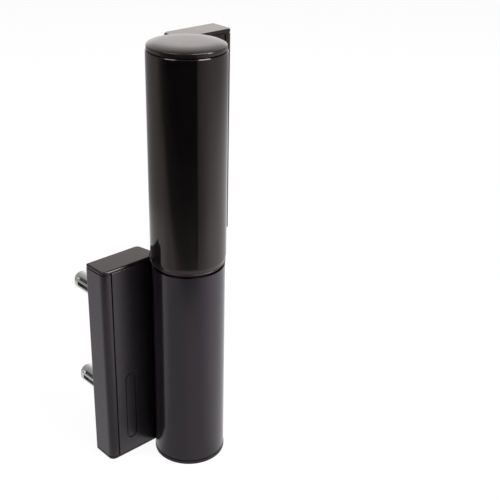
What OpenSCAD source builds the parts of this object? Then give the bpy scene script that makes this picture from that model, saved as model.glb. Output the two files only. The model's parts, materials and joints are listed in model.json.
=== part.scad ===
// Hydraulic gate closer that is also the gate's hinge: two tubular housings turn on one vertical
// axis. The lower one holds the closing spring, the upper one holds the hydraulic damper.
// The hinge axis is Z, the floor end is z = 0 and the leaves' fixing faces look along +Y.

/* [Tubes] */
// Outside radius of the upper tube
upper_r = 30; // [28.5:0.1:33]
// Outside radius of the lower tube
lower_r = 29.2; // [28.5:0.1:30]
// Bore radius of both tubes
bore_r = 26; // [25:0.1:26.5]
// Height of the lower housing, from the floor to the seam
lower_len = 178; // [175:1:200]
// Length of the upper tube, above the seam ring
upper_len = 163; // [160:1:180]
// Height of the seam ring
seam_ring_h = 6; // [4:0.5:8]
// Open gap at the seam and under the top cap
seam_gap = 0.8; // [0.5:0.1:0.9]
// Thickness of the cap under the lower tube
base_t = 3; // [2:0.5:5]

/* [Top cap] */
// Height of the domed top cap
cap_h = 5.6; // [5:0.1:8]
// Radius of the top cap's shoulder
cap_shoulder = 3.4; // [2:0.1:4]
// Rise of the dome inside the shoulder
cap_dome = 0.9; // [0.4:0.1:1.2]

/* [Leaves] */
// Distance from the hinge axis to a leaf's outer side
leaf_out = 65.5; // [62:0.5:75]
// Distance from the hinge axis to a leaf's inner back corner
leaf_in = 15; // [13:0.5:18]
// Distance from the hinge axis to a leaf's front face
leaf_front = 23.5; // [23:0.1:24.5]
// Distance from the hinge axis to a leaf's fixing face
leaf_back = 47; // [44:0.5:50]
// Thickness of the plate behind the bolts
back_plate = 5; // [4:0.5:6]
// Wall of a leaf's outer side
side_wall = 5.5; // [4:0.5:6]
// Radius of a leaf's front outer corner
corner_r = 5; // [3:0.5:6]
// Radius of a leaf's back outer corner
back_corner_r = 1.5; // [0.5:0.5:2]
// Thickness of the end caps on the leaves' upper ends
leaf_cap_t = 3.5; // [3:0.5:6]
// How far those end caps stand above the tube's end
leaf_rise = 1.5; // [0.5:0.1:2]
// Radius on the edge of the end caps
cap_edge = 1.4; // [0.6:0.2:1.8]
// Height of the shadow line under the end caps
cap_line = 0.7; // [0.4:0.1:1]
// Distance from the hinge axis to the slanted cut of the end caps
cap_clear_r = 32.5; // [32:0.1:33.5]

/* [Covers] */
// Distance from the hinge axis to the inner edge of a cover
cover_in = 20.5; // [20:0.5:22]
// Width of the rounded strip of the leaf that is left beside a cover
cover_margin = 7.2; // [6.5:0.1:8]
// Thickness of a cover
cover_t = 2.2; // [1.8:0.1:2.6]
// Gap round a cover
cover_gap = 0.5; // [0.3:0.1:0.6]
// Length of the plain slot in the lower cover
slot_len = 63.5; // [40:0.5:80]
// Width of the plain slot
slot_w = 9; // [6:0.5:12]
// Depth of the plain slot
slot_depth = 0.6; // [0.3:0.1:1]
// Height of the plain slot's middle above the floor
slot_z = 47; // [44:1:110]

/* [Anchors] */
// Distance from the hinge axis to the anchors and bolt holes
anchor_x = 42; // [40:0.5:45]
// Height between the two bolt holes of a leaf
anchor_pitch = 93; // [80:1:110]
// How far the bolt holes sit from the leaf's middle, towards the seam
anchor_rise = 4.5; // [0:0.5:10]
// Outside radius of an anchor sleeve
sleeve_r = 8; // [7.5:0.1:8.5]
// Length of an anchor sleeve behind the leaf
sleeve_len = 43.5; // [38:0.5:60]
// Radius of the anchor bolts' shanks
bolt_r = 4.95; // [4.5:0.05:5.2]
// Radius of the bolt holes in the gate's leaf
hole_r = 5.5; // [5.4:0.1:6.5]
// Width of the open slots in a sleeve
sleeve_slot_w = 2.8; // [2:0.1:3.2]
// Length of a sleeve's plain collar behind the leaf
sleeve_collar = 12; // [8:1:16]

/* [Mechanism] */
// Radius of the fixed drive shaft
shaft_r = 9; // [8.8:0.1:9.4]
// Radius of the pivot journal
journal_r = 20; // [19:0.5:21]
// Inside radius of the damper barrel
barrel_in = 22; // [21.6:0.1:22.5]
// Travel of the piston over half a turn of the gate
piston_travel = 30; // [24:1:34]
// Length of the piston
piston_len = 30; // [28:1:34]
// Mean radius of the drive screw
screw_r = 8.3; // [8:0.1:8.6]
// Height of the drive screw's lobes
screw_lobe = 0.9; // [0.5:0.1:1]
// Wire radius of the closing spring
wire_r = 2.5; // [1.5:0.1:2.5]
// Mean radius of the closing spring
coil_r = 14.5; // [14:0.1:14.8]
// Turns of the closing spring
coil_turns = 16; // [8:1:16]

/* [Hidden] */
$fn = 96;

// Broken edge on the ends of the tubes
tube_edge = 0.5;
// Clearances on the radius: pieces fixed together, pieces that run on each other, loose fits
fit = 0.05;
run = 0.06;
loose = 0.3;
// Small overshoot that keeps cuts clean
eps = 0.5;

// Heights of the stack
z_seam = lower_len;
z_ring = z_seam + seam_gap;
z_upper = z_ring + seam_ring_h;
z_top = z_upper + upper_len;
z_cap = z_top + seam_gap;
lower_leaf_top = z_seam + leaf_rise - leaf_cap_t;
upper_leaf_top = z_top + leaf_rise - leaf_cap_t;
upper_foot_gap = leaf_rise - seam_gap + 0.5;
lower_mid = (base_t + lower_leaf_top) / 2 + anchor_rise;
upper_mid = (z_upper + upper_leaf_top) / 2 - anchor_rise;

// The leaf's inner side runs to this angle on the tube
toe_angle = 68;
// Leaf channel and the mouth that the cover closes
channel_in = cover_in + 3.5;
channel_out = leaf_out - side_wall;
channel_back = leaf_back - back_plate;
ledge_t = 2.2;
channel_front = leaf_front + cover_t + ledge_t;
cover_out = leaf_out - cover_margin;
ledge_w = 3.5;

// Spigot, bush and washer
spigot_plug_h = 15;
journal_len = 32;
washer_t = 1.75;
washer_gap = 0.1;
z_spigot = z_seam + seam_gap + washer_gap;
z_washer = z_spigot - washer_gap - washer_t;
z_journal = z_spigot - journal_len;
bush_len = 27;

// Shaft plug
plug_gap = 7;
z_plug = base_t + plug_gap;
plug_h = 26;
square_a = shaft_r * 1.4;
screw_z_lower = z_plug + 12;
screw_z_upper = z_upper + 7.5;
grub_r = 3;
grub_len = 12;
grub_key_af = 3;
grub_inset = 0.6;

// Spring legs and bends
leg_hole_r = wire_r + 0.2;
bend_r = 4;
spring_foot = z_plug + plug_h - 10;
spring_coil_z = z_plug + plug_h + 5;
spring_head = z_journal + 10;

// Damper
gland_flange = 4;
gland_h = 14;
z_gland = z_upper + spigot_plug_h;
z_barrel = z_gland + gland_flange;
head_recess = 4.5;
head_flange = 13;
head_plug = 12;
z_head = z_top - head_recess - head_flange;
z_screw = z_gland + gland_h + 2.5;
z_piston = z_screw + 6;
journal_top_r = 6;
screw_len = piston_travel + piston_len + 12;
piston_r = barrel_in - loose;
nut_r = 12;
nut_len = 20;
nut_seat = 4;
nut_gap = 0.25;
rod_r = 3;
rod_at = 16;
valve_at = 13;
valve_r = 4;
valve_len = 18;
ball_r = 2.9;
ball_at = 17;
ring_z = z_piston + 11;
ring_h = 6;
ring_deep = 2.2;

// Anchor sleeves pass through the leaf and have a neck there, under the washer
collar_r = sleeve_r + 0.3;

// The drive screw turns this much for each millimetre of height
twist_rate = 180 / piston_travel;
screw_sides = 32;
screw_lobes = 4;
slice_turn = 12;

// Points of an arc about a centre, from angle a0 to a1 in n steps
function arc(centre, r, a0, a1, n) = [
    for (i = [0:n])
        let (a = a0 + (a1 - a0) * i / n)
            [centre[0] + r * cos(a), centre[1] + r * sin(a)]
];

// Where the slanted cut of the end caps, at 45 degrees, meets the leaf's inner side
cut_sum = cap_clear_r * sqrt(2);
toe = [lower_r * cos(toe_angle), lower_r * sin(toe_angle)];
cut_share = (cut_sum - leaf_in - leaf_back) / (toe[0] + toe[1] - leaf_in - leaf_back);
cut_inner = [
    leaf_in + (toe[0] - leaf_in) * cut_share,
    leaf_back + (toe[1] - leaf_back) * cut_share,
];

// Outlines of the end caps on the +X side: with the slanted cut, and whole for the floor end
outer_corners = concat(
    arc([leaf_out - corner_r, leaf_front + corner_r], corner_r, -90, 0, 6),
    arc([leaf_out - back_corner_r, leaf_back - back_corner_r], back_corner_r, 0, 90, 3)
);
cap_outline = concat([[leaf_in, leaf_back], cut_inner, [cut_sum - leaf_front, leaf_front]], outer_corners);
foot_outline = concat([[leaf_in, leaf_back], toe, [toe[0], leaf_front]], outer_corners);

module tube_ring(r_out, r_in, h) {
    difference() {
        cylinder(r = r_out, h = h);
        translate([0, 0, -eps])
            cylinder(r = r_in, h = h + 2 * eps);
    }
}

// Outer shape of a leaf, with true arcs on its two outer corners
module leaf_shape() {
    depth = leaf_back - leaf_front;
    translate([cover_in - 4, leaf_front])
        square([leaf_out - corner_r - cover_in + 4, depth]);
    translate([cover_in - 4, leaf_front + corner_r])
        square([leaf_out - back_corner_r - cover_in + 4, depth - corner_r]);
    translate([cover_in - 4, leaf_front + corner_r])
        square([leaf_out - cover_in + 4, depth - corner_r - back_corner_r]);
    translate([leaf_out - corner_r, leaf_front + corner_r])
        circle(r = corner_r);
    translate([leaf_out - back_corner_r, leaf_back - back_corner_r])
        circle(r = back_corner_r);
}

// Web that ties the leaf's inner end to the tube
module web_shape(tube_r) {
    mid_r = (tube_r + bore_r) / 2;
    polygon([
        [leaf_in, leaf_back],
        [tube_r * cos(toe_angle), tube_r * sin(toe_angle)],
        [mid_r * cos(60), mid_r * sin(60)],
        [mid_r * cos(50), mid_r * sin(50)],
        [cover_in - 2, leaf_front],
        [cover_in, leaf_back],
    ]);
}

// Space inside a leaf: the bolt channel, its mouth and the seat of the cover
module channel_shape() {
    translate([channel_in, channel_front])
        square([channel_out - channel_in, channel_back - channel_front]);
    translate([cover_in + ledge_w, leaf_front])
        square([cover_out - cover_in - 2 * ledge_w, channel_front - leaf_front + eps]);
    translate([cover_in, leaf_front - eps])
        square([cover_out - cover_in, cover_t + eps]);
}

// One housing on the +X side: a tube with a leaf, as one extrusion with its ends milled
module housing(tube_r, z0, z1, leaf_z1, mid_z, screw_z, bolt_hole_r) {
    difference() {
        union() {
            rotate_extrude()
                polygon([
                    [0, z0], [tube_r - tube_edge, z0], [tube_r, z0 + tube_edge],
                    [tube_r, z1 - tube_edge], [tube_r - tube_edge, z1], [0, z1],
                ]);
            translate([0, 0, z0])
                linear_extrude(height = leaf_z1 - z0)
                    difference() {
                        union() {
                            leaf_shape();
                            web_shape(tube_r);
                        }
                        channel_shape();
                    }
        }
        translate([0, 0, z0 - eps])
            cylinder(r = bore_r, h = z1 - z0 + 2 * eps);
        for (side = [-1, 1])
            translate([anchor_x, leaf_back + eps, mid_z + side * anchor_pitch / 2])
                rotate([90, 0, 0])
                    cylinder(r = bolt_hole_r, h = back_plate + 2 * eps);
        translate([0, 0, screw_z])
            rotate([-90, 0, 0])
                cylinder(r = grub_r + fit, h = tube_r + eps);
    }
}

// A snap-in cover on the +X side: a plate with two sprung legs
module cover(z0, z1) {
    leg_t = 1.4;
    leg_h = ledge_t + 3;
    leg_end = 6;
    translate([cover_in + cover_gap, leaf_front, z0])
        cube([cover_out - cover_in - 2 * cover_gap, cover_t - fit, z1 - z0]);
    for (x = [cover_in + ledge_w + cover_gap, cover_out - ledge_w - cover_gap - leg_t])
        translate([x, leaf_front + cover_t - fit - eps, z0 + leg_end])
            cube([leg_t, leg_h + eps, z1 - z0 - 2 * leg_end]);
}

module stadium(length, width) {
    for (side = [-1, 1])
        translate([0, side * (length - width) / 2])
            circle(r = width / 2);
    square([width, length - width], center = true);
}

// An end cap on the +X side: its underside is at z = 0 and its rounded edge is at the top. With
// line_h it stands on a foot of that height, which is set back and leaves a line round the leaf
line_in = 0.7;
module leaf_cap(t, outline, line_h) {
    tab_h = 5;
    inset = 0.6;
    steps = 4;
    hull() {
        translate([0, 0, line_h])
            linear_extrude(height = t - line_h - cap_edge)
                polygon(outline);
        for (i = [0:steps])
            let (a = 90 * i / steps)
                translate([0, 0, t - cap_edge + cap_edge * sin(a) - 0.01])
                    linear_extrude(height = 0.01)
                        offset(delta = -cap_edge * (1 - cos(a)))
                            polygon(outline);
    }
    if (line_h > 0)
        linear_extrude(height = line_h + 0.2)
            offset(delta = -line_in)
                polygon(outline);
    translate([cover_in + ledge_w + 3, channel_front + inset, -tab_h])
        cube([cover_out - cover_in - 2 * ledge_w - 6, channel_back - channel_front - 2 * inset, tab_h + 0.5]);
}

// A grub screw along +Y, from the tube's wall inwards
module grub_screw(tube_r, z) {
    translate([0, tube_r - grub_inset, z])
        rotate([90, 0, 0])
            difference() {
                cylinder(r = grub_r, h = grub_len);
                translate([0, 0, -eps])
                    cylinder(d = grub_key_af / cos(30), h = 3 + eps, $fn = 6);
            }
}

module grub_hole(tube_r, z) {
    translate([0, tube_r + eps, z])
        rotate([90, 0, 0])
            cylinder(r = grub_r + fit, h = grub_len + grub_inset + eps + 0.4);
}

// Puts its children on the lower leaf's two bolt axes, with z pointing out of the fixing face
module at_anchors() {
    for (side = [-1, 1])
        translate([-anchor_x, leaf_back, lower_mid + side * anchor_pitch / 2])
            rotate([-90, 0, 0])
                children();
}

// The lobed, twisted form shared by the drive screw and the bore of its nut
module lobed_twist(z0, h, grow) {
    points = [
        for (i = [0:screw_sides - 1])
            let (a = 360 * i / screw_sides, r = screw_r + grow + screw_lobe * cos(screw_lobes * a))
                [r * cos(a), r * sin(a)]
    ];
    translate([0, 0, z0])
        rotate([0, 0, -twist_rate * (z0 - z_screw)])
            linear_extrude(height = h, twist = twist_rate * h, slices = ceil(twist_rate * h / slice_turn), $fn = screw_sides)
                polygon(points);
}

module lower_housing() {
    color("#1b1a1b")
        mirror([1, 0, 0])
            housing(lower_r, base_t, z_seam, lower_leaf_top, lower_mid, screw_z_lower, collar_r + loose);
}

module lower_cover() {
    color("#222122")
        mirror([1, 0, 0])
            difference() {
                cover(base_t + cover_gap, lower_leaf_top - cover_gap);
                translate([(cover_in + cover_out) / 2 + 4.4, leaf_front + slot_depth, slot_z])
                    rotate([90, 0, 0])
                        linear_extrude(height = slot_depth + eps)
                            stadium(slot_len, slot_w);
            }
}

module lower_leaf_top_cap() {
    color("#2a2829")
        mirror([1, 0, 0])
            translate([0, 0, lower_leaf_top])
                leaf_cap(leaf_cap_t, cap_outline, cap_line);
}

module lower_leaf_bottom_cap() {
    color("#2a2829")
        mirror([1, 0, 0])
            difference() {
                translate([0, 0, base_t])
                    mirror([0, 0, 1])
                        leaf_cap(base_t, foot_outline, 0);
                translate([0, 0, -eps])
                    cylinder(r = lower_r + base_lip + loose, h = base_t + 2 * eps);
            }
}

base_lip = 0.4;
module tube_base_cap() {
    edge = 0.6;
    plug_deep = 6;
    plug_wall = 2.5;
    color("#1b1a1b") {
        rotate_extrude()
            polygon([
                [0, 0], [lower_r + base_lip - edge, 0], [lower_r + base_lip, edge],
                [lower_r + base_lip, base_t - edge], [lower_r - tube_edge, base_t], [0, base_t],
            ]);
        translate([0, 0, base_t - eps])
            tube_ring(bore_r - fit, bore_r - fit - plug_wall, plug_deep + eps);
    }
}

module pivot_bush() {
    color("#b08d57")
        translate([0, 0, z_washer - bush_len])
            tube_ring(bore_r - fit, journal_r + run, bush_len);
}

module thrust_washer() {
    color("#d8d4c8")
        translate([0, 0, z_washer])
            tube_ring(bore_r - fit, journal_r + loose, washer_t);
}

module shaft_plug() {
    color("#8f9296")
        difference() {
            translate([0, 0, z_plug])
                cylinder(r = bore_r - fit, h = plug_h);
            translate([0, 0, z_plug + plug_h / 2])
                cube([square_a + 2 * fit, square_a + 2 * fit, plug_h + 2 * eps], center = true);
            translate([coil_r, 0, spring_foot - 1])
                cylinder(r = leg_hole_r, h = plug_h);
            grub_hole(lower_r, screw_z_lower);
        }
}

module shaft_plug_screws() {
    color("#55585c")
        grub_screw(lower_r, screw_z_lower);
}

module drive_shaft() {
    color("#9a9da1") {
        translate([-square_a / 2, -square_a / 2, z_plug])
            cube([square_a, square_a, plug_h + eps]);
        translate([0, 0, z_plug + plug_h])
            cylinder(r = shaft_r, h = z_screw - z_plug - plug_h);
        translate([0, 0, z_screw - eps])
            cylinder(r = journal_top_r, h = z_head - z_screw - 4 + eps);
    }
}

module drive_screw() {
    color("#c8a24a")
        difference() {
            lobed_twist(z_screw, screw_len, 0);
            translate([0, 0, z_screw - eps])
                cylinder(r = journal_top_r + fit, h = screw_len + 2 * eps);
        }
}

// Centre line of the closing spring, unrolled: s runs round the coil and z runs up
turn_len = 2 * PI * coil_r;
coil_s = coil_turns * turn_len - 2 * bend_r;
coil_top_z = z_journal - bend_r - 2;
coil_rise = (coil_top_z - spring_coil_z) / coil_s;
echo(str("closing spring: gap between turns ", coil_rise * turn_len - 2 * wire_r, " mm"));
rings_per_turn = 10;
coil_rings = coil_turns * rings_per_turn;
bend_steps = 3;
spring_sides = 6;
spring_path = concat(
    [[0, spring_foot]],
    [
        for (i = [0:bend_steps])
            let (b = 90 * i / bend_steps)
                [bend_r * (1 - cos(b)), spring_coil_z - bend_r + bend_r * sin(b)]
    ],
    [for (i = [1:coil_rings - 1]) [bend_r + coil_s * i / coil_rings, spring_coil_z + coil_s * coil_rise * i / coil_rings]],
    [
        for (i = [0:bend_steps])
            let (b = 90 * i / bend_steps)
                [bend_r + coil_s + bend_r * sin(b), coil_top_z + bend_r * (1 - cos(b))]
    ],
    [[2 * bend_r + coil_s, spring_head]]
);

// A ring of the spring's wire round a path point, square to the path
function wire_ring(i) =
    let (
        last = len(spring_path) - 1,
        before = spring_path[max(i - 1, 0)],
        after = spring_path[min(i + 1, last)],
        step = after - before,
        step_len = norm(step),
        turn = 360 * spring_path[i][0] / turn_len,
        out = [cos(turn), sin(turn), 0],
        round_dir = [-sin(turn), cos(turn), 0],
        side = round_dir * (step[1] / step_len) - [0, 0, 1] * (step[0] / step_len),
        centre = out * coil_r + [0, 0, spring_path[i][1]]
    )
        [
            for (k = [0:spring_sides - 1])
                let (a = 360 * k / spring_sides)
                    centre + out * (wire_r * cos(a)) + side * (wire_r * sin(a))
        ];

module closing_spring() {
    count = len(spring_path);
    points = [for (i = [0:count - 1]) for (p = wire_ring(i)) p];
    walls = [
        for (i = [0:count - 2])
            for (k = [0:spring_sides - 1])
                let (
                    a = i * spring_sides + k,
                    b = i * spring_sides + (k + 1) % spring_sides
                )
                    each [[a, a + spring_sides, b + spring_sides], [a, b + spring_sides, b]]
    ];
    foot = [for (k = [0:spring_sides - 1]) k];
    head = [for (k = [spring_sides - 1:-1:0]) (count - 1) * spring_sides + k];
    color("#6e7175")
        polyhedron(points = points, faces = concat(walls, [foot], [head]), convexity = 10);
}

// Split expansion sleeve: two open slots and two closed windows, with a flared mouth for the cone
flare_r = 6.6;
flare_len = 4.5;
module anchor_sleeves() {
    edge = 1;
    wall_gap = 0.35;
    slot_start = sleeve_collar + 1;
    window_start = slot_start + 1.5;
    window_w = 3.7;
    window_end = 5.4;
    slot_angle = 218;
    window_angle = 181;
    color("#d9d8d4")
        at_anchors()
            difference() {
                rotate_extrude()
                    polygon([
                        [bolt_r + wall_gap, -back_plate], [sleeve_r, -back_plate], [sleeve_r, 0],
                        [collar_r, 0], [collar_r, sleeve_collar], [sleeve_r, sleeve_collar],
                        [sleeve_r, sleeve_len - edge], [sleeve_r - edge, sleeve_len],
                        [flare_r, sleeve_len], [bolt_r + wall_gap, sleeve_len - flare_len],
                    ]);
                for (half_turn = [0, 180]) {
                    rotate([0, 0, slot_angle + half_turn])
                        translate([2, -sleeve_slot_w / 2, slot_start])
                            cube([sleeve_r, sleeve_slot_w, sleeve_len]);
                    rotate([0, 0, window_angle + half_turn])
                        translate([2, -window_w / 2, window_start])
                            cube([sleeve_r, window_w, sleeve_len - window_start - window_end]);
                }
            }
}

module anchor_cones() {
    proud = 1.5;
    gap = 0.15;
    taper = flare_len - 0.6;
    color("#a9abad")
        at_anchors()
            difference() {
                union() {
                    translate([0, 0, sleeve_len - taper])
                        cylinder(r1 = flare_r - gap - 1, r2 = flare_r - gap, h = taper + 0.001);
                    translate([0, 0, sleeve_len])
                        cylinder(r = flare_r - gap, h = proud);
                }
                translate([0, 0, sleeve_len - taper - eps])
                    cylinder(r = bolt_r + fit, h = taper + proud + 2 * eps);
            }
}

bolt_head_r = 8.5;
bolt_head_h = 7.5;
anchor_washer_t = 2;
anchor_washer_r = 10.5;
module anchor_bolts() {
    key_af = 8;
    key_deep = 4;
    color("#a9abad")
        at_anchors()
            difference() {
                union() {
                    translate([0, 0, -back_plate - anchor_washer_t - bolt_head_h])
                        cylinder(r = bolt_head_r, h = bolt_head_h);
                    translate([0, 0, -back_plate - anchor_washer_t - eps])
                        cylinder(r = bolt_r, h = back_plate + anchor_washer_t + sleeve_len + 2 + eps);
                }
                translate([0, 0, -back_plate - anchor_washer_t - bolt_head_h - eps])
                    cylinder(d = key_af / cos(30), h = key_deep + eps, $fn = 6);
            }
}

module anchor_washers() {
    color("#b9bbbd")
        at_anchors()
            translate([0, 0, -back_plate - anchor_washer_t])
                tube_ring(anchor_washer_r, bolt_r + fit, anchor_washer_t);
}

module upper_housing() {
    color("#1b1a1b")
        housing(upper_r, z_upper, z_top, upper_leaf_top, upper_mid, screw_z_upper, hole_r);
}

module upper_cover() {
    color("#222122")
        cover(z_upper + cover_gap, upper_leaf_top - cover_gap);
}

module upper_leaf_top_cap() {
    color("#2a2829")
        translate([0, 0, upper_leaf_top])
            leaf_cap(leaf_cap_t, cap_outline, cap_line);
}

module upper_leaf_bottom_cap() {
    color("#2a2829")
        translate([0, 0, z_upper])
            mirror([0, 0, 1])
                leaf_cap(seam_ring_h - upper_foot_gap, cap_outline, cap_line);
}

// The ring at the seam: a bead round its foot and a thin groove under the upper tube
module seam_ring() {
    inset = 0.4;
    bead = 0.6;
    bead_out = 0.35;
    groove_h = 0.5;
    groove_in = 0.9;
    r = upper_r - inset;
    color("#2d2b2c")
        translate([0, 0, z_ring])
            rotate_extrude()
                polygon(concat(
                    [[bore_r + fit, 0]],
                    arc([r + bead_out - bead, bead], bead, -90, 60, 8),
                    [
                        [r, 2 * bead], [r, seam_ring_h - groove_h], [r - groove_in, seam_ring_h - groove_h],
                        [r - groove_in, seam_ring_h], [bore_r + fit, seam_ring_h],
                    ]
                ));
}

module pivot_spigot() {
    color("#8f9296")
        difference() {
            union() {
                translate([0, 0, z_journal])
                    cylinder(r = journal_r, h = journal_len + eps);
                translate([0, 0, z_spigot])
                    cylinder(r = bore_r - fit, h = z_gland - z_spigot);
            }
            translate([0, 0, z_journal - eps])
                cylinder(r = shaft_r + loose, h = z_gland - z_journal + 2 * eps);
            translate([coil_r, 0, z_journal - eps])
                cylinder(r = leg_hole_r, h = 12 + eps);
            grub_hole(upper_r, screw_z_upper);
        }
}

module spigot_screws() {
    color("#55585c")
        grub_screw(upper_r, screw_z_upper);
}

module damper_barrel() {
    color("#9a9da1")
        translate([0, 0, z_barrel])
            tube_ring(bore_r - fit, barrel_in, z_head - z_barrel);
}

seal_w = 4;
seal_t = 3;
module barrel_gland() {
    color("#8f9296")
        difference() {
            union() {
                translate([0, 0, z_gland])
                    cylinder(r = bore_r - fit, h = gland_flange);
                translate([0, 0, z_gland])
                    cylinder(r = barrel_in - fit, h = gland_h);
            }
            translate([0, 0, z_gland - eps])
                cylinder(r = shaft_r + run, h = gland_h + 2 * eps);
            translate([0, 0, z_gland + gland_h - seal_w])
                cylinder(r = shaft_r + seal_t + fit, h = seal_w + eps);
            for (side = [-1, 1])
                translate([0, side * rod_at, z_gland + gland_h - 4])
                    cylinder(r = rod_r + fit, h = 4 + eps);
        }
}

module gland_seal() {
    color("#111111")
        translate([0, 0, z_gland + gland_h - seal_w])
            tube_ring(shaft_r + seal_t, shaft_r + run, seal_w - 0.2);
}

module guide_rods() {
    color("#b9bbbd")
        for (side = [-1, 1])
            translate([0, side * rod_at, z_gland + gland_h - 4])
                cylinder(r = rod_r, h = z_head - head_plug - z_gland - gland_h + 8);
}

groove_t = 2.4;
module valve_head() {
    color("#8f9296")
        difference() {
            union() {
                translate([0, 0, z_head - head_plug])
                    cylinder(r = barrel_in - fit, h = head_plug + eps);
                translate([0, 0, z_head])
                    cylinder(r = bore_r - fit, h = head_flange);
            }
            translate([0, 0, z_head - head_plug - eps])
                cylinder(r = journal_top_r + run, h = head_plug - 2 + eps);
            for (side = [-1, 1]) {
                translate([0, side * rod_at, z_head - head_plug - eps])
                    cylinder(r = rod_r + fit, h = 4.1 + eps);
                translate([side * valve_at, 0, z_head + head_flange - valve_len - 1])
                    cylinder(r = valve_r, h = valve_len + 1 + eps);
            }
            translate([0, 0, z_head - head_plug / 2 - groove_t / 2])
                tube_ring(barrel_in + eps, barrel_in - groove_t, groove_t);
        }
}

module head_seal() {
    color("#111111")
        translate([0, 0, z_head - head_plug / 2 - groove_t / 2 + 0.1])
            tube_ring(barrel_in - fit, barrel_in - groove_t + fit, groove_t - 0.2);
}

module piston() {
    color("#a9abad")
        difference() {
            translate([0, 0, z_piston])
                cylinder(r = piston_r, h = piston_len);
            translate([0, 0, z_piston - eps])
                cylinder(r = screw_r + screw_lobe + 0.7, h = piston_len + 2 * eps);
            translate([0, 0, z_piston + nut_seat])
                cylinder(r = nut_r + fit, h = piston_len);
            for (side = [-1, 1])
                translate([0, side * rod_at, z_piston - eps])
                    cylinder(r = rod_r + run, h = piston_len + 2 * eps);
            translate([0, 0, ring_z])
                tube_ring(piston_r + eps, piston_r - ring_deep, ring_h);
            translate([ball_at, 0, z_piston - eps])
                cylinder(r = 1.5, h = piston_len);
            translate([ball_at, 0, z_piston + piston_len - 8])
                cylinder(r = ball_r + loose, h = 8 + eps);
        }
}

module drive_nut() {
    color("#c8a24a")
        difference() {
            translate([0, 0, z_piston + nut_seat])
                cylinder(r = nut_r, h = nut_len);
            lobed_twist(z_piston + nut_seat - eps, nut_len + 2 * eps, nut_gap);
        }
}

module piston_ring() {
    color("#e8e4da")
        translate([0, 0, ring_z + 0.1])
            tube_ring(barrel_in - run, piston_r - ring_deep + fit, ring_h - 0.2);
}

module check_ball() {
    color("#c9cbcd")
        translate([ball_at, 0, z_piston + piston_len - 8 + ball_r + 0.1])
            sphere(r = ball_r);
}

// A valve screw on the head, with a hexagon socket in its upper end and a needle point
module valve_screw(side) {
    key_af = 4;
    proud = 1.2;
    point = 3;
    top = z_head + head_flange + proud;
    color("#c9cbcd")
        translate([side * valve_at, 0, 0])
            difference() {
                union() {
                    translate([0, 0, top - valve_len + point])
                        cylinder(r = valve_r - run, h = valve_len - point);
                    translate([0, 0, top - valve_len])
                        cylinder(r1 = 1.2, r2 = valve_r - run, h = point + 0.01);
                }
                translate([0, 0, top - 3])
                    cylinder(d = key_af / cos(30), h = 3 + eps, $fn = 6);
            }
}

module speed_valve() {
    valve_screw(-1);
}

module snap_valve() {
    valve_screw(1);
}

module top_cap() {
    inset = 0.6;
    low_edge = 0.5;
    skirt_h = 4;
    skirt_t = 2;
    r = upper_r - inset;
    top_r = r - cap_shoulder;
    flat_z = cap_h - cap_dome;
    dome = [
        for (i = [1:8])
            let (x = top_r * (1 - i / 8))
                [x, flat_z + cap_dome * (1 - pow(x / top_r, 2))]
    ];
    color("#242223")
        translate([0, 0, z_cap])
            difference() {
                union() {
                    rotate_extrude()
                        polygon(concat(
                            [[0, 0], [r - low_edge, 0], [r, low_edge]],
                            arc([top_r, flat_z - cap_shoulder], cap_shoulder, 0, 90, 8),
                            dome
                        ));
                    translate([0, 0, -skirt_h])
                        tube_ring(bore_r - loose, bore_r - loose - skirt_t, skirt_h + eps);
                }
                translate([0, 0, -eps])
                    cylinder(r = bore_r - loose - skirt_t, h = 1.5 + eps);
            }
}

lower_housing();
lower_cover();
lower_leaf_top_cap();
lower_leaf_bottom_cap();
tube_base_cap();
pivot_bush();
thrust_washer();
shaft_plug();
shaft_plug_screws();
drive_shaft();
drive_screw();
closing_spring();
anchor_sleeves();
anchor_cones();
anchor_bolts();
anchor_washers();
upper_housing();
upper_cover();
upper_leaf_top_cap();
upper_leaf_bottom_cap();
seam_ring();
pivot_spigot();
spigot_screws();
damper_barrel();
barrel_gland();
gland_seal();
guide_rods();
valve_head();
head_seal();
piston();
drive_nut();
piston_ring();
check_ball();
speed_valve();
snap_valve();
top_cap();
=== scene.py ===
"""Looks of the hydraulic gate closer: coats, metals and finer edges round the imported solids."""

import json
import math

import bpy
import numpy as np
from mathutils import Matrix


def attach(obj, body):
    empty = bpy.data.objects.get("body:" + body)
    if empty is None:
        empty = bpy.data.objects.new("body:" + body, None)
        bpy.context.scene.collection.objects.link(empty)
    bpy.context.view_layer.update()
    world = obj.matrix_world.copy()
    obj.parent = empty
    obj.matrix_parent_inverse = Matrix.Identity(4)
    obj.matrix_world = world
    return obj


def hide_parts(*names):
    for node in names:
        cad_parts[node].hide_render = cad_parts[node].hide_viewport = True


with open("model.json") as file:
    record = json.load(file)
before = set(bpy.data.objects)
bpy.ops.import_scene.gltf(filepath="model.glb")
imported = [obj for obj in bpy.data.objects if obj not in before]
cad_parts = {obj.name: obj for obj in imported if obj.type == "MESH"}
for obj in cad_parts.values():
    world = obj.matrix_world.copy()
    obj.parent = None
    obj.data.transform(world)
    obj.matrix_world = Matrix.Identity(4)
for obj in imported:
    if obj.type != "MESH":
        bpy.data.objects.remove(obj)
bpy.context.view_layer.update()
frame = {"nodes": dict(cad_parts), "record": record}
nodes = frame["nodes"]

MM = 0.001


def in_scene(name, data):
    """A new object of the scene with that mesh, lamp or camera."""
    made = bpy.data.objects.new(name, data)
    bpy.context.scene.collection.objects.link(made)
    return made


def place_at(made, place, across, upward, back):
    """Puts a lamp or the camera at a place, with its three axes along the given directions."""
    turn = Matrix(np.column_stack([across, upward, back]).tolist())
    made.matrix_world = Matrix.Translation(place) @ turn.to_4x4()


def span(node, axis):
    """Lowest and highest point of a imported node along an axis, in millimetres."""
    reach = [corner[axis] / MM for corner in nodes[node].bound_box]
    return round(min(reach), 2), round(max(reach), 2)


# Shader graphs


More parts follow.
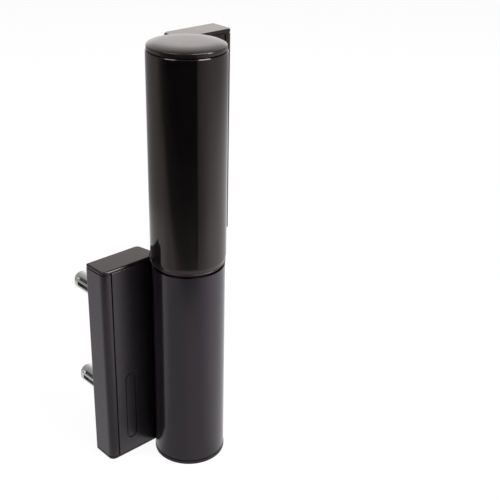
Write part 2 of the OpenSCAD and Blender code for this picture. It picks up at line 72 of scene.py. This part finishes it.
class Graph:
    """The nodes of a material or of the world, with short forms for what repeats."""

    def __init__(self, owner, coordinates="Object"):
        owner.use_nodes = True
        self.tree = owner.node_tree
        self.place = self.add("ShaderNodeTexCoord").outputs[coordinates]

    def add(self, kind, **settings):
        node = self.tree.nodes.new(kind)
        for key, value in settings.items():
            setattr(node, key, value)
        return node

    def feed(self, node, *ordered, **named):
        """Gives a node's inputs, in order or by name, a fixed value or another node's output."""
        pairs = [(node.inputs[i], value) for i, value in enumerate(ordered)]
        pairs += [(node.inputs[name.replace("_", " ")], value) for name, value in named.items()]
        for socket, value in pairs:
            if isinstance(value, bpy.types.NodeSocket):
                self.tree.links.new(value, socket)
            else:
                socket.default_value = value
        return node

    def ranged(self, value, low, high, at_low=0.0, at_high=1.0, curve="LINEAR"):
        """value taken from low..high to at_low..at_high, and held outside them."""
        node = self.add("ShaderNodeMapRange", interpolation_type=curve)
        self.feed(node, Value=value, From_Min=low, From_Max=high, To_Min=at_low, To_Max=at_high)
        return node.outputs["Result"]

    def eased(self, value, low, high, at_low=0.0, at_high=1.0):
        """The same with a smooth start and a smooth end."""
        return self.ranged(value, low, high, at_low, at_high, "SMOOTHSTEP")

    def times(self, first, second):
        node = self.add("ShaderNodeMath", operation="MULTIPLY")
        return self.feed(node, first, second).outputs[0]

    def plus(self, first, second, clamp=False):
        node = self.add("ShaderNodeMath", operation="ADD", use_clamp=clamp)
        return self.feed(node, first, second).outputs[0]

    def less(self, value):
        """One minus value."""
        return self.plus(self.times(value, -1.0), 1.0)

    def along(self, direction):
        """Distance of a point from the origin along a direction."""
        node = self.add("ShaderNodeVectorMath", operation="DOT_PRODUCT")
        return self.feed(node, self.place, tuple(direction)).outputs["Value"]

    def reach(self):
        """Distance of a point from the origin."""
        node = self.add("ShaderNodeVectorMath", operation="LENGTH")
        return self.feed(node, self.place).outputs["Value"]


class Finish(Graph):
    """A material with one Principled shader and the small graph that feeds it."""

    def __init__(self, name, base, roughness, metallic=0.0, **sockets):
        self.material = bpy.data.materials.new(name)
        super().__init__(self.material)
        self.shader = self.tree.nodes["Principled BSDF"]
        self.feed(self.shader, Base_Color=(*base, 1.0), Roughness=roughness, Metallic=metallic)
        self.feed(self.shader, **sockets)
        self.height = None

    def noise(self, per_metre, detail=2.0, roughness=0.5, stretch=(1.0, 1.0, 1.0)):
        """Noise with that many features to a metre, times stretch along each axis."""
        scale = tuple(per_metre * share for share in stretch)
        spread = self.feed(self.add("ShaderNodeMapping"), Vector=self.place, Scale=scale)
        node = self.add("ShaderNodeTexNoise")
        self.feed(node, Vector=spread.outputs[0], Scale=1.0, Detail=detail, Roughness=roughness)
        return node.outputs["Fac"]

    def colour_from(self, factor, first, second):
        """The surface has the first colour where factor is 0 and the second where it is 1."""
        node = self.add("ShaderNodeMix", data_type="RGBA")
        self.feed(node, Factor=factor, A=(*first, 1.0), B=(*second, 1.0))
        self.feed(self.shader, Base_Color=node.outputs["Result"])

    def roughness_from(self, factor, roughness, share):
        """Roughness that a noise moves by that share either way."""
        low, high = roughness * (1.0 - share), roughness * (1.0 + share)
        self.feed(self.shader, Roughness=self.ranged(factor, 0.3, 0.7, low, high))

    def bump(self, value, depth):
        """Raises the surface by depth metres where value is 1. Later calls lie on earlier ones."""
        node = self.feed(self.add("ShaderNodeBump"), Strength=1.0, Distance=depth, Height=value)
        if self.height is not None:
            self.feed(node, Normal=self.height)
        self.height = node.outputs["Normal"]
        self.feed(self.shader, Normal=self.height)


# Finishes


def shaded(colour, share):
    """The colour with every channel times share."""
    return tuple(channel * share for channel in colour)


def satin_coat(name, base, roughness, peel, **sockets):
    """Black powder coat: a fine orange peel, and a slow drift in colour and gloss."""
    coat = Finish(name, base, roughness, **sockets)
    drift = coat.ranged(coat.noise(18.0, detail=3.0), 0.35, 0.65)
    coat.colour_from(drift, base, shaded(base, 1.35))
    coat.roughness_from(coat.noise(60.0, detail=4.0), roughness, 0.12)
    coat.bump(coat.noise(650.0, detail=2.0), peel)
    coat.bump(coat.noise(2600.0, detail=1.0), peel * 0.2)
    return coat


def moulded_plastic(name, base, roughness, grain, **sockets):
    """Moulded plastic with a fine spark-eroded grain."""
    plastic = Finish(name, base, roughness, **sockets)
    drift = plastic.ranged(plastic.noise(35.0, detail=2.0), 0.35, 0.65)
    plastic.colour_from(drift, base, shaded(base, 1.25))
    plastic.roughness_from(plastic.noise(140.0, detail=3.0), roughness, 0.10)
    plastic.bump(plastic.noise(1900.0, detail=2.0, roughness=0.6), grain)
    return plastic


def turned_metal(name, base, roughness, lines=(1.0, 1.0, 60.0)):
    """Metal with fine tool lines, closer together along one axis than the others."""
    metal = Finish(name, base, roughness, metallic=1.0)
    tool = metal.noise(45.0, detail=3.0, stretch=lines)
    stain = metal.ranged(metal.noise(90.0, detail=4.0), 0.3, 0.7)
    metal.colour_from(stain, shaded(base, 0.86), base)
    metal.roughness_from(tool, roughness, 0.25)
    metal.bump(tool, 6e-6)
    return metal


WARM = {"Specular_Tint": (1.0, 0.84, 0.85, 1.0), "Specular_IOR_Level": 0.70}
COOL = {"Specular_Tint": (0.98, 0.86, 1.0, 1.0), "Specular_IOR_Level": 0.70}
GLOSSIER = {"Specular_Tint": (0.98, 0.88, 0.98, 1.0), "Specular_IOR_Level": 1.0}
CAP_GLOSS = {"Specular_Tint": (1.0, 0.82, 0.83, 1.0), "Specular_IOR_Level": 0.62}
BLACK, LOWER_BLACK = (0.0016, 0.0013, 0.0013), (0.0021, 0.0018, 0.0022)
COVER_BLACK, RING_BLACK = (0.0027, 0.0023, 0.0027), (0.0030, 0.0025, 0.0026)
CAP_BLACK, DOME_BLACK = (0.0050, 0.0042, 0.0044), (0.0048, 0.0040, 0.0042)
ALONG_SLEEVE = (1.0, 40.0, 1.0)

body_coat = satin_coat("satin_black_coat", BLACK, 0.11, 1.2e-6, **WARM)
foot_coat = satin_coat("satin_black_lower_coat", LOWER_BLACK, 0.18, 1.4e-6, **COOL)
leaf_coat = satin_coat("satin_black_cover", COVER_BLACK, 0.32, 1.6e-6, **GLOSSIER)
ring_coat = satin_coat("satin_black_ring", RING_BLACK, 0.22, 1.2e-6, **WARM)
cap_plastic = moulded_plastic("black_end_cap_plastic", CAP_BLACK, 0.17, 0.8e-6, **CAP_GLOSS)
dome_plastic = moulded_plastic("black_top_cap_plastic", DOME_BLACK, 0.19, 0.6e-6, **WARM)
zinc = turned_metal("bright_zinc_sleeve", (0.76, 0.76, 0.74), 0.30, ALONG_SLEEVE)
bolt_zinc = turned_metal("zinc_bolt_steel", (0.21, 0.215, 0.22), 0.36, ALONG_SLEEVE)
steel = turned_metal("turned_steel", (0.58, 0.59, 0.60), 0.28)
dark_steel = turned_metal("oiled_dark_steel", (0.22, 0.225, 0.23), 0.34)
brass = turned_metal("machined_brass", (0.74, 0.56, 0.26), 0.26)
bronze = turned_metal("sintered_bronze", (0.62, 0.42, 0.24), 0.42)
light_alloy = turned_metal("machined_aluminium", (0.66, 0.67, 0.68), 0.30)
rubber = moulded_plastic("black_seal_rubber", (0.015, 0.015, 0.015), 0.60, 4.0e-6)
pale_plastic = moulded_plastic("pale_bearing_plastic", (0.80, 0.78, 0.72), 0.40, 2.0e-6)


def paint_seam_shade(coat):
    """Painted shade in the seam: the top of the tube's end is made a black metal without gloss, so
    that no lamp shows on it and the seam stays dark.
    """
    end = span("lower_housing", 2)[1] * MM
    axes = coat.feed(coat.add("ShaderNodeSeparateXYZ"), coat.place)
    coat.feed(coat.shader, Metallic=coat.ranged(axes.outputs["Z"], end - 0.7 * MM, end - 0.5 * MM))


# Painted shade: the lower tube's end in the seam is kept black, so the seam reads as a dark gap
paint_seam_shade(foot_coat)

FINISHES = {
    "black_powder_coat": body_coat,
    "black_cover": leaf_coat,
    "black_end_cap": cap_plastic,
    "black_ring": ring_coat,
    "black_top_cap": dome_plastic,
    "bearing_bronze": bronze,
    "bearing_plastic": pale_plastic,
    "machined_steel": steel,
    "dark_steel": dark_steel,
    "brass_screw": brass,
    "bright_zinc": zinc,
    "zinc_bolt": bolt_zinc,
    "seal_rubber": rubber,
    "cast_aluminium": light_alloy,
}

slot_of_node = {s["node"]: s["material_slot"] for s in frame["record"]["subparts"]}
for node_name, node_object in nodes.items():
    finish = foot_coat if node_name == "lower_housing" else FINISHES[slot_of_node[node_name]]
    for material_slot in node_object.material_slots:
        material_slot.material = finish.material


# Finer pieces, worked out in millimetres

ROUND = 192  # points round a turned form


def skin(loops, ring=False):
    """Closed skin over stacked loops of equal length: point j of loop i is joined to point j + 1
    and to point j of loop i + 1. A flat face closes either end, or the last loop meets the first."""
    rows, count = loops.shape[:2]
    index = np.arange(rows * count).reshape(rows, count)
    low, high = (index, np.roll(index, -1, 0)) if ring else (index[:-1], index[1:])
    quads = np.stack([low, np.roll(low, -1, 1), np.roll(high, -1, 1), high], axis=-1)
    ends = [] if ring else [index[0][::-1], index[-1]]
    return loops.reshape(-1, 3), quads.reshape(-1, 4), ends


def turned(profile):
    """Loops of a turned form: point = (r cos a, r sin a, z) for each (r, z) of the profile."""
    r, z = np.array(profile, dtype=float).T[:, :, None]
    a = np.linspace(0.0, 2.0 * np.pi, ROUND, endpoint=False)[None, :]
    return np.stack([r * np.cos(a), r * np.sin(a), z + 0.0 * a], axis=-1)


def fillets(corners):
    """Arcs at the corners (x, y, radius) of a counter-clockwise outline. An arc is its centre,
    its radius (minus where the corner is hollow) and the angles of its outward normal."""
    corners = np.array(corners, dtype=float)
    points = corners[:, :2]
    step = np.roll(points, -1, 0) - points
    after = np.arctan2(step[:, 1], step[:, 0]) - np.pi / 2.0
    before = np.roll(after, 1)
    turn = (after - before + np.pi) % (2.0 * np.pi) - np.pi
    radius = corners[:, 2] * np.sign(turn)
    normals = np.stack([np.cos(before) + np.cos(after), np.sin(before) + np.sin(after)], axis=-1)
    centre = points - (radius / (1.0 + np.cos(turn)))[:, None] * normals
    return np.column_stack([centre, radius, before, before + turn])


def block(x0, x1, y0, y1, radius):
    """Arcs of a rectangle with rounded corners."""
    return fillets([(x0, y0, radius), (x1, y0, radius), (x1, y1, radius), (x0, y1, radius)])


def stacked(arcs, section, steps=8):
    """Loops of a form with rounded outline: for each (inset, height) of the section,
    point = centre + (radius - inset) (cos a, sin a) along every arc, at that height."""
    inset, height = np.array(section, dtype=float).T[:, :, None, None]
    share = np.linspace(0.0, 1.0, steps + 1)[None, None, :]
    x, y, radius, start, end = (arcs[:, i][None, :, None] for i in range(5))
    a = start + (end - start) * share
    reach = radius - inset
    grid = np.stack([x + reach * np.cos(a), y + reach * np.sin(a), height + 0.0 * a], axis=-1)
    return grid.reshape(len(section), -1, 3)


def upright(loops):
    """Loops drawn flat and stood up: (x, y, height) becomes (x, -height, y)."""
    return np.stack([loops[..., 0], -loops[..., 2], loops[..., 1]], axis=-1)


def rounding(radius, steps=12, degrees=90.0):
    """Inset and height of a rounded edge: r (1 - cos a) and r sin a, from upright inwards."""
    a = np.linspace(0.0, math.radians(degrees), steps + 1)
    return radius * (1.0 - np.cos(a)), radius * np.sin(a)


def new_piece(name, shells, finish, body, node, scale=(1.0, 1.0, 1.0), base=0.0):
    """One mesh of closed shells, scaled and raised to its place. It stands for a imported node."""
    points = np.vstack([shell[0] for shell in shells]) * scale + (0.0, 0.0, base)
    order = -1 if np.prod(scale) < 0.0 else 1
    faces, start = [], 0
    for vertices, quads, ends in shells:
        faces += (quads + start)[:, ::order].tolist()
        faces += [(end + start)[::order].tolist() for end in ends]
        start += len(vertices)
    mesh = bpy.data.meshes.new(name)
    mesh.from_pydata((points * MM).tolist(), [], faces)
    mesh.materials.append(finish.material)
    mesh.shade_smooth()
    mesh.set_sharp_from_angle(angle=math.radians(32.0))
    mesh.update()
    made = in_scene(name, mesh)
    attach(made, body)
    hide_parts(node)


# Leaves, drawn on the gate's side. The post's leaf is the mirror image.

LEAF_OUT = span("upper_leaf_top_cap", 0)[1]
LEAF_FRONT, LEAF_BACK = span("upper_leaf_top_cap", 1)
COVER_IN, COVER_OUT, COVER_BACK = span("upper_cover", 0)[0], 57.15, 25.65
LEG_BACK = span("upper_cover", 1)[1]
TAB_DEPTH = 5.0
NOTCH_OUT, NOTCH_BACK = COVER_OUT + 0.75, COVER_BACK + 0.25
INNER_SIDE = np.array([[15.0, LEAF_BACK], [10.94, 27.07]])
# The slanted cut lies 31.2 from the axis at 45 degrees, so x + y is this all along it
CUT_SUM = 31.2 * math.sqrt(2.0)


def end_cap(arcs, foot, height, edge, line):
    """End cap of a leaf: a rounded lid, a foot under it that is set back and leaves a shadow
    line, and a tab in the leaf's channel. The lid's section is the outline drawn in by
    edge (1 - cos a) while it rises by edge sin a."""
    inset, rise = rounding(edge)
    lid = [(0.1, line), (0.0, line + 0.1), (0.0, line + 0.4)]
    lid += list(zip(inset, height - edge + rise)) + [(edge + 0.12, height)]
    tab = block(27.0, 51.8, 28.5, 41.4, 0.3)
    clear = 0.01
    return [
        skin(stacked(arcs, lid)),
        skin(stacked(fillets(foot), [(0.0, 0.0), (0.0, line - clear)], steps=4)),
        skin(stacked(tab, [(0.0, -TAB_DEPTH), (0.0, -clear)], steps=2)),
    ]


def cut_cap(height, edge, line):
    """The end cap with a slanted cut that clears the tubes."""
    top, toe = INNER_SIDE
    share = (CUT_SUM - top.sum()) / (toe.sum() - top.sum())
    inner = top + (toe - top) * share
    outline = [(top[0], LEAF_BACK, 4.5), (*inner, 1.7), (CUT_SUM - LEAF_FRONT, LEAF_FRONT, 1.7)]
    outline += [(LEAF_OUT, LEAF_FRONT, 5.0), (LEAF_OUT, LEAF_BACK, 1.7)]
    out, front, back = LEAF_OUT - 0.7, LEAF_FRONT + 0.7, LEAF_BACK - 0.7
    foot = [(top[0] + 0.8, back, 3.7), (inner[0] + 0.8, inner[1] + 0.3, 0.8)]
    foot += [(CUT_SUM + 1.0 - NOTCH_BACK, NOTCH_BACK, 0.5), (NOTCH_OUT, NOTCH_BACK, 0.3)]
    foot += [(NOTCH_OUT, front, 0.3), (out, front, 4.3), (out, back, 0.9)]
    return end_cap(fillets(outline), foot, height, edge, line)


def floor_cap(height, edge, line):
    """The end cap at the floor: its inner side follows the tube's round, a hollow arc of
    29.9 about the axis, joined by an arc of radius 1.2 at either end."""
    radius, hollow = 1.2, 29.9
    top, toe = INNER_SIDE
    way = (toe - top) / np.linalg.norm(toe - top)
    normal = np.array([way[1], -way[0]])
    start = top - radius * normal
    middle = start @ way
    run = -middle - math.sqrt(middle**2 - start @ start + (hollow + radius) ** 2)
    upper = start + run * way
    lower_y = LEAF_FRONT + radius
    lower = np.array([math.sqrt((hollow + radius) ** 2 - lower_y**2), lower_y])
    side, high_end, low_end = (
        math.atan2(v[1], v[0]) % (2.0 * np.pi) for v in (normal, -upper, -lower)
    )
    corners = fillets([(top[0], LEAF_BACK, 1.5), (*toe, 1.5), (toe[0], LEAF_FRONT, 1.0),
                       (LEAF_OUT, LEAF_FRONT, 5.0), (LEAF_OUT, LEAF_BACK, 1.5)])
    arcs = np.vstack([
        corners[0],
        [*upper, radius, side, high_end],
        [0.0, 0.0, -hollow, high_end, low_end],
        [*lower, radius, low_end, 1.5 * np.pi],
        corners[3:],
    ])
    out, front, back = LEAF_OUT - 0.6, LEAF_FRONT + 0.6, LEAF_BACK - 0.6
    foot = [(15.7, back, 0.5), (12.9, 31.5, 0.5), (20.5, NOTCH_BACK, 0.5)]
    foot += [(NOTCH_OUT, NOTCH_BACK, 0.3), (NOTCH_OUT, front, 0.3), (out, front, 4.4)]
    foot += [(out, back, 0.9)]
    return end_cap(arcs, foot, height, edge, line)


def cover_plate(low, high, slot=None):
    """Snap-in cover between two heights: a plate whose outline is drawn in by r (1 - cos a)
    while its front rises by r sin a, two legs behind, and round the slot (its middle, length
    and width) a groove of constant section along two half circles and two straights."""
    edge = 0.35
    inset, rise = rounding(edge, 6)
    section = [(0.0, -COVER_BACK), (0.0, -LEAF_FRONT - 0.6)]
    section += list(zip(inset, rise - LEAF_FRONT - edge)) + [(0.42, -LEAF_FRONT)]
    loops = stacked(block(COVER_IN, COVER_OUT, low, high, 0.5), section, steps=16)
    if slot:
        x, z, length, width = slot
        r, half, turn = width / 2.0, (length - width) / 2.0, np.pi / 2.0
        arcs = np.array([[x, z - half, r, -2 * turn, -turn], [x, z - half, r, -turn, 0.0],
                         [x, z + half, r, 0.0, turn], [x, z + half, r, turn, 2 * turn]])
        groove = [(-0.62, 0.0), (-0.54, 0.0), (-0.34, -0.90)]
        groove += [(0.34, -0.90), (0.48, -0.25), (0.60, -0.25)]
        cut = stacked(arcs, [(across, depth - LEAF_FRONT) for across, depth in groove], steps=16)
        loops = np.concatenate([loops, cut])
    leg = [(0.0, -LEG_BACK), (0.0, -COVER_BACK - 0.01)]
    outlines = [block(x, x + 1.4, low + 6.5, high - 6.5, 0.2) for x in (24.5, 52.9)]
    return [skin(upright(loops))] + [skin(upright(stacked(arcs, leg, steps=2))) for arcs in outlines]


def leaf_cap(name, shape, body, node, side, way):
    """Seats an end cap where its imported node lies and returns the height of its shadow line.
    side is -1 on the post's leaf, and way is -1 where the cap points down."""
    make, edge, line = shape
    low, high = span(node, 2)
    height = round(high - low - TAB_DEPTH, 2)
    seat = high - height if way > 0.0 else low + height
    shells = make(height, edge, line)
    new_piece(name, shells, cap_plastic, body, node, (side, 1.0, way), seat)
    return seat + way * line


# Shapes of the caps: outline, radius of the edge and height of the shadow line
LOWER_LID = (cut_cap, 1.3, 1.0)
LOWER_FOOT_LID = (floor_cap, 1.1, 0.5)
UPPER_LID = (cut_cap, 1.3, 0.9)
UPPER_FOOT_LID = (cut_cap, 1.4, 0.7)
POST, GATE, UPWARDS, DOWNWARDS = -1.0, 1.0, 1.0, -1.0
# Middle of the cover's slot across and up, its length and its width
SLOT = (43.8, 47.0, 63.5, 9.0)
# What a cover leaves free under it and over it
FOOT_GAP, LOWER_TOP_GAP, UPPER_TOP_GAP = 0.02, 0.32, 0.22

lower_top = leaf_cap(
    "lower_lid", LOWER_LID, "post_side", "lower_leaf_top_cap", POST, UPWARDS
)
lower_foot = leaf_cap(
    "lower_foot_lid", LOWER_FOOT_LID, "post_side", "lower_leaf_bottom_cap", POST, DOWNWARDS
)
upper_top = leaf_cap(
    "upper_lid", UPPER_LID, "gate_side", "upper_leaf_top_cap", GATE, UPWARDS
)
upper_foot = leaf_cap(
    "upper_foot_lid", UPPER_FOOT_LID, "gate_side", "upper_leaf_bottom_cap", GATE, DOWNWARDS
)
lower_plate = cover_plate(lower_foot + FOOT_GAP, lower_top - LOWER_TOP_GAP, SLOT)
upper_plate = cover_plate(upper_foot + FOOT_GAP, upper_top - UPPER_TOP_GAP)
new_piece(
    "lower_cover_plate", lower_plate, leaf_coat, "post_side", "lower_cover",
    scale=(POST, 1.0, 1.0),
)
new_piece(
    "upper_cover_plate", upper_plate, body_coat, "gate_side", "upper_cover"
)


# Turned pieces

SKIRT_DEPTH = 4.0


def dome():
    """Top cap above a skirt that plugs the tube: an upright wall, a rounded edge over sixty
    degrees, and a low crown that rises by 2.05 (1 - exp(-u / 4)) + 0.12 u / r inwards from it."""
    wall, skirt = 29.35, 25.7
    inset, rise = rounding(0.9, degrees=60.0)
    wide = np.append(wall, wall - inset)
    tall = np.append(0.45, 2.55 + rise)
    inward = np.linspace(0.25, wide[-1] - 1.0, 70)
    crown = 2.05 * (1.0 - np.exp(-0.25 * inward)) + 0.12 * inward / wide[-1]
    wide, tall = np.append(wide, wide[-1] - inward), np.append(tall, tall[-1] + crown)
    under = [(2.0, 1.5), (skirt - 2.3, 1.5), (skirt - 2.0, 1.2), (skirt - 2.0, 0.2 - SKIRT_DEPTH)]
    under += [(skirt - 1.8, -SKIRT_DEPTH), (skirt - 0.3, -SKIRT_DEPTH)]
    under += [(skirt, 0.3 - SKIRT_DEPTH), (skirt, 0.0), (29.0, 0.0), (29.3, 0.1)]
    return [skin(turned(under + list(zip(wide, tall))))]


def base_plug():
    """Cap under the lower tube: a thin lip with broken edges and a plug inside the bore."""
    lip, top = span("tube_base_cap", 0)[1], span("tube_base_cap", 2)[1]
    plug, bore, floor = 25.7, 23.2, 3.0
    profile = [(2.0, 0.0), (lip - 0.15, 0.0), (lip, 0.15), (lip, 2.6), (lip - 0.15, 2.9)]
    profile += [(lip - 0.6, floor), (plug, floor), (plug, top - 0.4), (plug - 0.4, top)]
    profile += [(bore + 0.3, top), (bore, top - 0.3), (bore, floor), (2.0, floor)]
    return [skin(turned(profile))]


def ring_band(height):
    """Seam ring: a deep groove at its foot, a half round bead above it and a plain band."""
    bore, groove, band = 26.05, 28.3, 29.42
    a = np.radians(np.linspace(-90.0, 75.0, 12))
    bead = list(zip(29.08 + 0.42 * np.cos(a), 1.62 + 0.42 * np.sin(a)))
    profile = [(bore, 0.0), (groove - 0.1, 0.0), (groove, 0.1), (groove, 1.2)] + bead
    profile += [(29.28, 2.1), (29.28, 3.7), (band, 4.0), (band, height), (bore, height)]
    return [skin(turned(profile), ring=True)]


dome_seat = span("top_cap", 2)[0] + SKIRT_DEPTH
ring_foot, ring_top = span("seam_ring", 2)
seam_ring = ring_band(ring_top - ring_foot)
new_piece("domed_cap", dome(), dome_plastic, "cap", "top_cap", base=dome_seat)
new_piece("base_lid", base_plug(), foot_coat, "post_side", "tube_base_cap")
new_piece(
    "seam_band", seam_ring, ring_coat, "gate_side", "seam_ring", base=ring_foot
)


# Studio

# Directions on the floor: towards the camera's side, and to its right
NEAR = np.array([-0.6248, -0.7808, 0.0])
SIDE = np.array([-NEAR[1], NEAR[0], 0.0])


class SheetGraph(Graph):
    """Material of the floor or the card: a blend of two shaders."""

    def __init__(self, name):
        self.material = bpy.data.materials.new(name)
        super().__init__(self.material)
        self.tree.nodes.remove(self.tree.nodes["Principled BSDF"])

    def by_angle(self, angle, start, end, at_start, at_end):
        """A smooth step over an angle, between two numbers of degrees."""
        return self.eased(angle, math.radians(start), math.radians(end), at_start, at_end)

    def blend(self, share, first, second):
        mix = self.add("ShaderNodeMixShader")
        self.feed(mix, share, first.outputs[0], second.outputs[0])
        self.feed(self.tree.nodes["Material Output"], Surface=mix.outputs[0])


def flat_sheet(name, corners, graph):
    """A flat sheet through the given corners, in order."""
    mesh = bpy.data.meshes.new(name)
    mesh.from_pydata(corners, [], [tuple(range(len(corners)))])
    mesh.materials.append(graph.material)
    mesh.update()
    sheet = in_scene(name, mesh)
    return sheet


def floor_paper():
    """White paper: near white to the camera, with the object's soft shadow on it. What the
    gloss sees of it is grey in front and white to the right and behind."""
    paper = SheetGraph("white_floor_paper")
    path = paper.add("ShaderNodeLightPath")
    camera_ray, gloss_ray = path.outputs["Is Camera Ray"], path.outputs["Is Glossy Ray"]
    node = paper.add("ShaderNodeMath", operation="ARCTAN2")
    angle = paper.feed(node, paper.along(SIDE), paper.along(NEAR)).outputs[0]
    away = paper.times(angle, -1.0)
    reach = paper.reach()
    seen = paper.by_angle(angle, -45, 28, 0.42, 0.56)
    seen = paper.plus(seen, paper.by_angle(angle, 24, 85, 0.0, 0.44))
    seen = paper.plus(seen, paper.by_angle(away, 58, 80, 0.0, 0.28))
    seen = paper.plus(seen, paper.by_angle(away, 130, 170, 0.0, 0.30), clamp=True)
    edge = paper.by_angle(angle, 15, 28, 0.0, 1.0)
    dip = paper.times(edge, paper.by_angle(angle, 28, 68, 0.62, 0.0))
    dip = paper.times(dip, paper.eased(reach, 0.26, 0.50))
    far = paper.by_angle(angle, -20, 20, 0.5, 0.3)
    far = paper.plus(far, paper.by_angle(angle, 50, 115, 0.0, -0.3))
    far = paper.times(far, paper.eased(reach, 0.45, 0.60))
    haze = paper.by_angle(angle, 38, 62, 0.0, 0.55)
    haze = paper.times(haze, paper.eased(reach, 0.55, 1.25))
    for shade in (dip, far, haze):
        seen = paper.times(seen, paper.less(shade))
    level = paper.plus(camera_ray, paper.times(gloss_ray, seen))
    share = paper.plus(paper.times(camera_ray, 0.91), paper.times(gloss_ray, 0.92))
    diffuse = paper.feed(paper.add("ShaderNodeBsdfDiffuse"), Color=(0.90, 0.90, 0.90, 1.0))
    glow = paper.feed(paper.add("ShaderNodeEmission"), Color=(1.0, 1.0, 1.0, 1.0), Strength=level)
    paper.blend(share, diffuse, glow)
    return paper


def dark_card():
    """A black card on the floor in front, seen only in the gloss. It fades in away from the
    object, and its right-hand edge is sharp."""
    card = SheetGraph("black_card")
    near = card.along(NEAR)
    far = card.eased(card.reach(), 0.60, 1.05)
    sharp = card.times(card.eased(near, 0.27, 0.40, 0.0, 0.8), card.less(far))
    wide = card.times(card.eased(near, -0.10, 0.42, 0.0, 0.8), far)
    rest = card.eased(near, 0.40, 0.80, 0.0, 0.2)
    share = card.plus(card.plus(sharp, wide), rest, clamp=True)
    black = card.feed(card.add("ShaderNodeBsdfDiffuse"), Color=(0.0, 0.0, 0.0, 1.0))
    card.blend(share, card.add("ShaderNodeBsdfTransparent"), black)
    slope = math.tan(math.radians(28.0))
    outline = [(-0.12, -3.0), (-0.12, -0.4), (0.13, -0.2), (0.13, 0.13 * slope)]
    outline += [(3.0, 3.0 * slope), (3.0, -3.0)]
    above_floor = np.array([0.0, 0.0, 0.002])
    corners = [tuple(u * NEAR + v * SIDE + above_floor) for u, v in outline]
    sheet = flat_sheet("dark_card", corners, card)
    sheet.visible_camera = False
    sheet.visible_diffuse = False
    sheet.visible_shadow = False


def studio_walls():
    """White all round, except that the gloss sees the side behind the camera in shade."""
    bpy.context.scene.world = bpy.data.worlds.new("white_studio")
    walls = Graph(bpy.context.scene.world, coordinates="Generated")
    path = walls.add("ShaderNodeLightPath")
    shade = walls.eased(walls.along(-NEAR), 0.35, 1.05, 0.28, 1.0)
    plain = walls.ranged(path.outputs["Is Camera Ray"], 0.0, 1.0, 0.65, 1.0)
    strength = walls.add("ShaderNodeMix")
    walls.feed(strength, Factor=path.outputs["Is Glossy Ray"], A=plain, B=shade)
    sky = walls.tree.nodes["Background"]
    walls.feed(sky, Color=(1.0, 1.0, 1.0, 1.0), Strength=strength.outputs["Result"])


def softbox(name, place, aim, size, power):
    """An area lamp at place that faces aim."""
    light = bpy.data.lights.new(name, "AREA")
    light.shape = "RECTANGLE"
    light.size, light.size_y = size
    light.energy = power
    lamp = in_scene(name, light)
    back = np.array(place) - np.array(aim)
    back = back / np.linalg.norm(back)
    across = np.cross((0.0, 0.0, 1.0), back)
    across = across / np.linalg.norm(across)
    place_at(lamp, place, across, np.cross(back, across), back)
    lamp.visible_camera = False
    return lamp


def front_softbox(name, angle, rise, size, power):
    """A softbox in front, 1.5 m away at an angle to the right of the camera's side and a rise."""
    distance, aim = 1.5, (0.0, 0.0, 0.30)
    turn, rise = math.radians(angle), math.radians(rise)
    way = math.cos(turn) * NEAR + math.sin(turn) * SIDE
    way = math.cos(rise) * way + np.array([0.0, 0.0, math.sin(rise)])
    softbox(name, tuple(aim + distance * way), aim, size, power)


half = 6.0  # metres from the axis to the floor's edge
floor_corners = [(-half, -half, 0.0), (half, -half, 0.0), (half, half, 0.0), (-half, half, 0.0)]
flat_sheet("floor", floor_corners, floor_paper())
dark_card()
studio_walls()
left_softbox = softbox("left_softbox", (-1.3, 0.5, 0.7), (0.0, 0.0, 0.15), (0.9, 0.9), 9.0)
left_softbox.visible_glossy = False
rear_strip = softbox("rear_strip", (1.09, 1.20, 0.62), (0.0, 0.0, 0.34), (1.8, 0.5), 1.7)
rear_strip.data.color = (1.0, 0.9, 0.84)
front_softbox("front_left_softbox", -62.0, 57.0, (0.9, 0.55), 5.5)
front_softbox("front_right_softbox", 58.0, 57.0, (1.2, 0.55), 17.6)
front_softbox("low_right_softbox", 66.0, 12.0, (0.42, 0.8), 15.0)


# Camera at the photograph's viewing angle

LENS = 68.2413
EYE = (-0.42529, -0.51996, 0.51949)
HEADING, TILT, ROLL = (math.radians(degrees) for degrees in (46.5622, -26.2354, 1.4197))

look = np.array([math.cos(HEADING), math.sin(HEADING), 0.0]) * math.cos(TILT)
look[2] = math.sin(TILT)
level = np.array([math.sin(HEADING), -math.cos(HEADING), 0.0])
right = math.cos(ROLL) * level + math.sin(ROLL) * np.cross(level, look)

camera_data = bpy.data.cameras.new("camera")
camera_data.lens = LENS
camera_data.sensor_width = 36.0
camera_data.clip_start = 0.01
camera_data.clip_end = 50.0
camera = in_scene("camera", camera_data)
place_at(camera, EYE, right, np.cross(right, look), -look)
bpy.context.scene.camera = camera
bpy.context.scene.view_settings.view_transform = "Standard"
